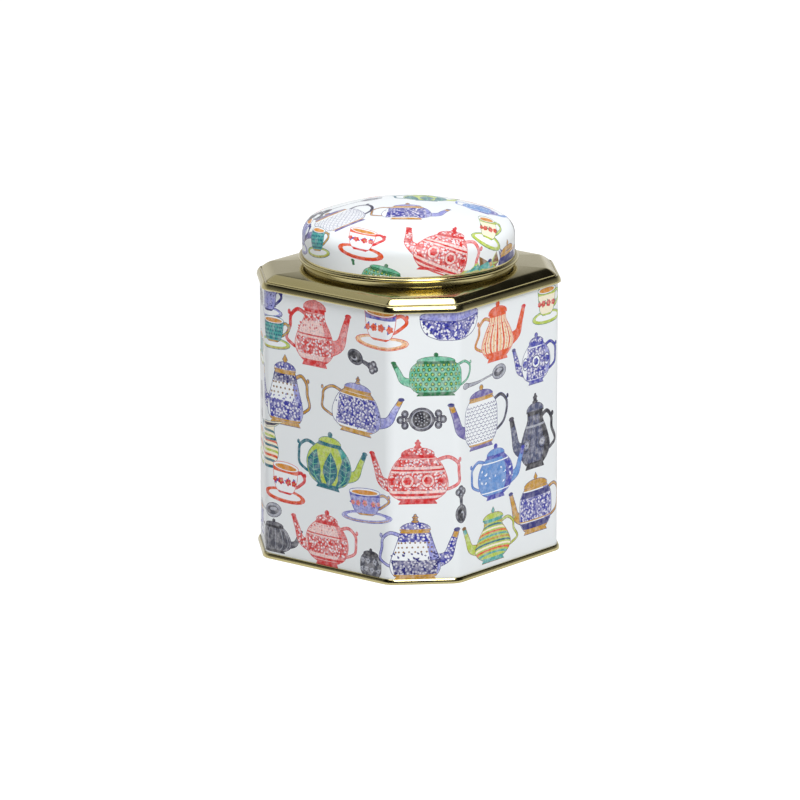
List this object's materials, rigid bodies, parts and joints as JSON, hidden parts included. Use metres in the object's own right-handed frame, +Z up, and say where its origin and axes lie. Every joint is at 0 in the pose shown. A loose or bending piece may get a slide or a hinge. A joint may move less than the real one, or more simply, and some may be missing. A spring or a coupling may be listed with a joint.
{
  "type": "tea caddy",
  "caption": "Octagonal printed tin tea caddy with seamed gold rims, a round neck in a gold shoulder and a domed lid that lifts off.",
  "frame": {"origin": "middle of the foot, on the surface the caddy stands on", "axes": "+Z up, the way the lid lifts; the wide faces are square to X and Y and the narrow ones stand between them"},
  "size_m": [0.1024, 0.1024, 0.1384],
  "materials": {
    "printed_tin": "tinplate printed with small pots, cups and spoons on a white ground, gloss varnish, bright tin inside",
    "gold_tin": "bright tinplate under a clear gold lacquer, glossy"
  },
  "bodies": {
    "caddy": {"wall": "printed_tin", "base_end": "gold_tin", "shoulder": "gold_tin"},
    "lid": {"lid": "printed_tin"}
  },
  "joints": [
    {"name": "lid_lift", "type": "slide", "parent": "caddy", "child": "lid", "axis": [0, 0, 1], "range_m": [0, 0.06]}
  ]
}
